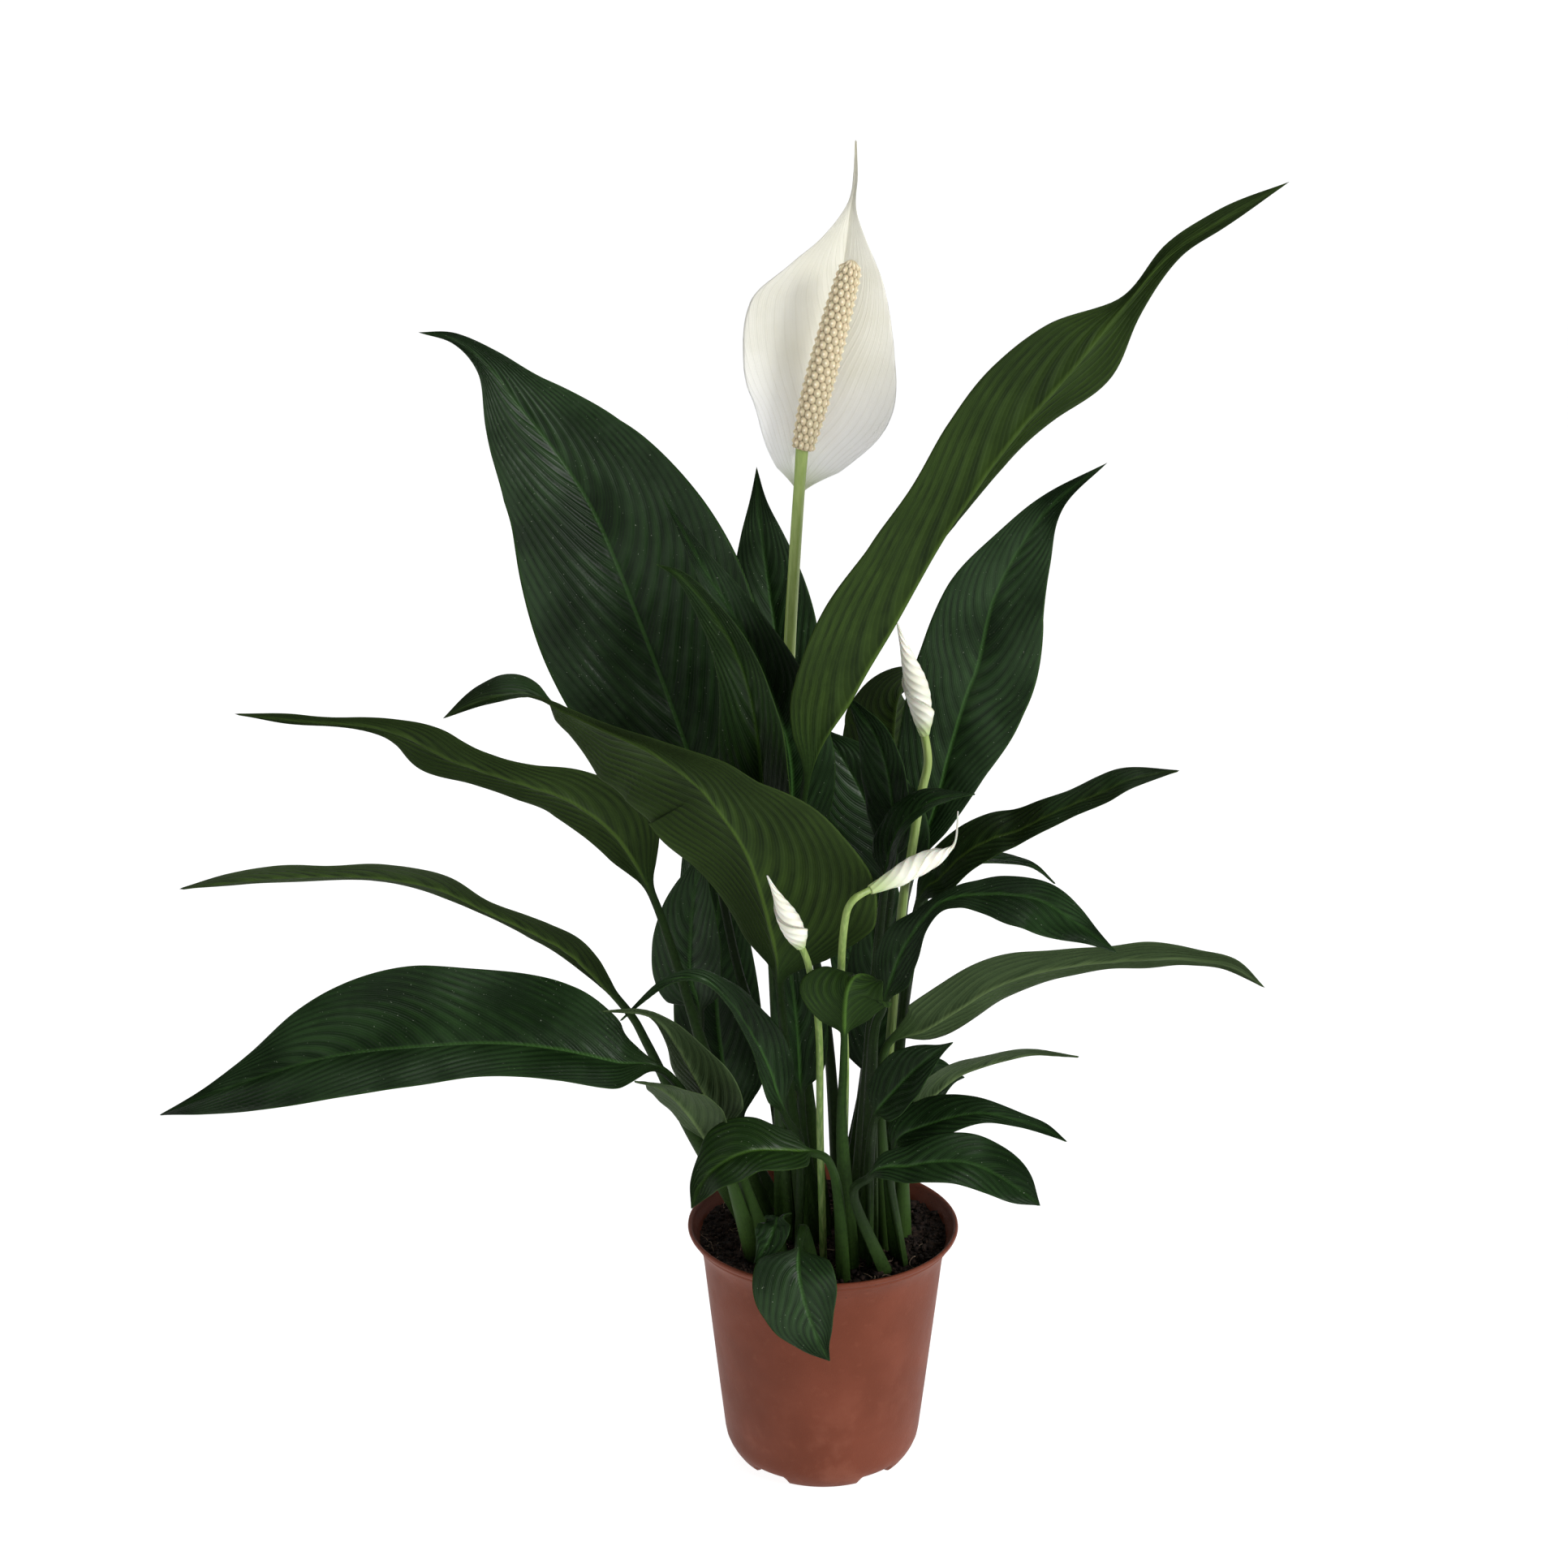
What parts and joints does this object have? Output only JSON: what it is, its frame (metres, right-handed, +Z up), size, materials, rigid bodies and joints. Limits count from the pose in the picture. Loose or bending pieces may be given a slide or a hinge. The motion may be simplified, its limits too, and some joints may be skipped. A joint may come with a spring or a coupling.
{
  "type": "potted peace lily",
  "caption": "Peace lily in a plastic nursery pot: a clump of arching lance-shaped leaves with a white hooded flower on a tall stalk and slim furled buds.",
  "frame": {"origin": "centre of the pot's underside, on the surface it stands on", "axes": "+Z up along the pot's axis; -Y is the front, where the flower's open face and the hanging leaf look; +X to the right seen from the front"},
  "size_m": [0.451, 0.2678, 0.577],
  "materials": {
    "leaf_dark": "satin",
    "leaf_underside": "satin",
    "leaf_grey": "satin",
    "leaf_young": "satin",
    "flower_stalk": "satin",
    "spadix": "matte",
    "petal": "satin",
    "pot": "matte",
    "soil": "matte"
  },
  "bodies": {
    "root": {"leaf_tall_left": "leaf_dark", "leaf_broad_front": "leaf_underside", "leaf_far_left_high": "leaf_underside", "leaf_far_left_low": "leaf_underside", "leaf_big_low_left": "leaf_dark", "leaf_upper_right": "leaf_underside", "leaf_right_tall": "leaf_dark", "leaf_centre_back": "leaf_dark", "leaf_centre_left_a": "leaf_dark", "leaf_centre_left_b": "leaf_young", "leaf_right_back_olive": "leaf_underside", "leaf_left_small_dark": "leaf_dark", "leaf_arching_inner": "leaf_dark", "leaf_grey_left_a": "leaf_grey", "leaf_grey_left_b": "leaf_grey", "leaf_centre_right_a": "leaf_dark", "leaf_centre_right_b": "leaf_dark", "leaf_thin_right": "leaf_dark", "leaf_right_mid_upper": "leaf_underside", "leaf_right_mid_droop": "leaf_dark", "leaf_right_arch_thin": "leaf_dark", "leaf_right_long_low": "leaf_grey", "leaf_right_pointed": "leaf_dark", "leaf_right_low_thin": "leaf_grey", "leaf_right_low_back": "leaf_dark", "leaf_right_low_a": "leaf_dark", "leaf_right_low_b": "leaf_dark", "leaf_front_left_low": "leaf_young", "leaf_front_hanging": "leaf_dark", "leaf_front_small": "leaf_dark", "leaf_front_cup": "leaf_young", "leaf_dark_back_left": "leaf_dark", "leaf_mid_back_right": "leaf_dark", "leaf_centre_narrow": "leaf_dark", "leaf_back_left": "leaf_dark", "leaf_back_right": "leaf_dark", "leaf_back_centre": "leaf_dark", "leaf_back_low_left": "leaf_dark", "leaf_back_low_right": "leaf_dark", "flower_stalk": "flower_stalk", "flower_spadix": "spadix", "flower_spathe": "petal", "bud_upper_stalk": "flower_stalk", "bud_upper": "petal", "bud_side_stalk": "flower_stalk", "bud_side": "petal", "bud_front_stalk": "flower_stalk", "bud_front": "petal", "pot": "pot", "soil": "soil"}
  },
  "joints": []
}
